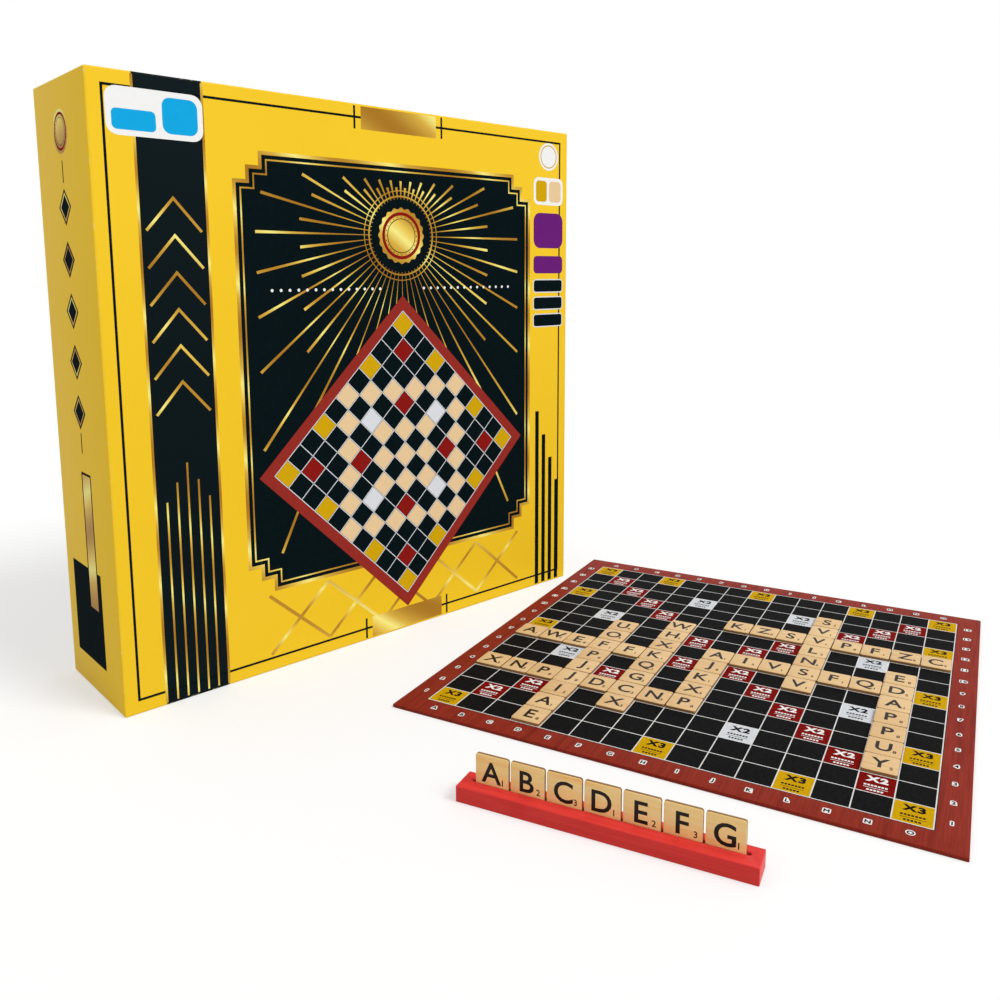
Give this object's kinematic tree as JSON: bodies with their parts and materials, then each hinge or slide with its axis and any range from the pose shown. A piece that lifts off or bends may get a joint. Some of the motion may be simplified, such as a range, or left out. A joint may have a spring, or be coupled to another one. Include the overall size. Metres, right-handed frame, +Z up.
{
  "type": "word board game",
  "caption": "Square game box standing upright, with a flat gridded board laid with wooden letter tiles and a grooved rack of standing tiles in front of it.",
  "frame": {"origin": "middle of the whole set's footprint, on the surface that it stands on", "axes": "+Z up; -Y the way the box's cover faces; +X along the box's width, towards the board"},
  "size_m": [0.4182, 0.3838, 0.296],
  "materials": {
    "box_print": "printed and laminated wrap, satin",
    "insert_card": "folded card, matte",
    "leaflet_paper": "folded paper, matte",
    "greyboard": "pressed grey board, matte",
    "board_print": "printed grid sheet, satin",
    "board_backing": "backing sheet, matte",
    "tile_wood": "pale wood, satin",
    "rack_tile_wood": "pale wood with grain, satin",
    "rack_lacquer": "red lacquer, satin"
  },
  "bodies": {
    "lid": {"lid_board": "greyboard", "lid_wrap": "box_print"},
    "tray": {"tray_board": "greyboard", "tray_wrap": "box_print", "folded_insert": "insert_card", "rules_leaflet": "leaflet_paper", "spare_tiles": "tile_wood", "spare_rack_1": "rack_lacquer", "spare_rack_2": "rack_lacquer", "spare_rack_3": "rack_lacquer"},
    "board": {"board_core": "greyboard", "board_face": "board_print", "board_backing": "board_backing"},
    "word_row_4": {"word_row_4": "tile_wood"},
    "word_column_4": {"word_column_4": "tile_wood"},
    "word_row_7": {"word_row_7": "tile_wood"},
    "word_column_6": {"word_column_6": "tile_wood"},
    "word_column_8": {"word_column_8": "tile_wood"},
    "word_row_8": {"word_row_8": "tile_wood"},
    "word_column_11": {"word_column_11": "tile_wood"},
    "word_row_11": {"word_row_11": "tile_wood"},
    "word_column_14": {"word_column_14": "tile_wood"},
    "rack": {"rack": "rack_lacquer"},
    "rack_tile_1": {"rack_tile_1": "rack_tile_wood"},
    "rack_tile_2": {"rack_tile_2": "rack_tile_wood"},
    "rack_tile_3": {"rack_tile_3": "rack_tile_wood"},
    "rack_tile_4": {"rack_tile_4": "rack_tile_wood"},
    "rack_tile_5": {"rack_tile_5": "rack_tile_wood"},
    "rack_tile_6": {"rack_tile_6": "rack_tile_wood"},
    "rack_tile_7": {"rack_tile_7": "rack_tile_wood"}
  },
  "joints": [
    {"name": "tray_slide", "type": "slide", "parent": "lid", "child": "tray", "axis": [0, 1, 0], "range_m": [0, 0.12]},
    {"name": "board_lift", "type": "slide", "parent": "lid", "child": "board", "axis": [0, 0, 1], "range_m": [0, 0.08]},
    {"name": "word_row_4_lift", "type": "slide", "parent": "board", "child": "word_row_4", "axis": [0, 0, 1], "range_m": [0, 0.02]},
    {"name": "word_column_4_lift", "type": "slide", "parent": "board", "child": "word_column_4", "axis": [0, 0, 1], "range_m": [0, 0.02]},
    {"name": "word_row_7_lift", "type": "slide", "parent": "board", "child": "word_row_7", "axis": [0, 0, 1], "range_m": [0, 0.02]},
    {"name": "word_column_6_lift", "type": "slide", "parent": "board", "child": "word_column_6", "axis": [0, 0, 1], "range_m": [0, 0.02]},
    {"name": "word_column_8_lift", "type": "slide", "parent": "board", "child": "word_column_8", "axis": [0, 0, 1], "range_m": [0, 0.02]},
    {"name": "word_row_8_lift", "type": "slide", "parent": "board", "child": "word_row_8", "axis": [0, 0, 1], "range_m": [0, 0.02]},
    {"name": "word_column_11_lift", "type": "slide", "parent": "board", "child": "word_column_11", "axis": [0, 0, 1], "range_m": [0, 0.02]},
    {"name": "word_row_11_lift", "type": "slide", "parent": "board", "child": "word_row_11", "axis": [0, 0, 1], "range_m": [0, 0.02]},
    {"name": "word_column_14_lift", "type": "slide", "parent": "board", "child": "word_column_14", "axis": [0, 0, 1], "range_m": [0, 0.02]},
    {"name": "rack_lift", "type": "slide", "parent": "lid", "child": "rack", "axis": [0, 0, 1], "range_m": [0, 0.05]},
    {"name": "rack_tile_1_lift", "type": "slide", "parent": "rack", "child": "rack_tile_1", "axis": [0, 0, 1], "range_m": [0, 0.015]},
    {"name": "rack_tile_2_lift", "type": "slide", "parent": "rack", "child": "rack_tile_2", "axis": [0, 0, 1], "range_m": [0, 0.015]},
    {"name": "rack_tile_3_lift", "type": "slide", "parent": "rack", "child": "rack_tile_3", "axis": [0, 0, 1], "range_m": [0, 0.015]},
    {"name": "rack_tile_4_lift", "type": "slide", "parent": "rack", "child": "rack_tile_4", "axis": [0, 0, 1], "range_m": [0, 0.015]},
    {"name": "rack_tile_5_lift", "type": "slide", "parent": "rack", "child": "rack_tile_5", "axis": [0, 0, 1], "range_m": [0, 0.015]},
    {"name": "rack_tile_6_lift", "type": "slide", "parent": "rack", "child": "rack_tile_6", "axis": [0, 0, 1], "range_m": [0, 0.015]},
    {"name": "rack_tile_7_lift", "type": "slide", "parent": "rack", "child": "rack_tile_7", "axis": [0, 0, 1], "range_m": [0, 0.015]}
  ]
}
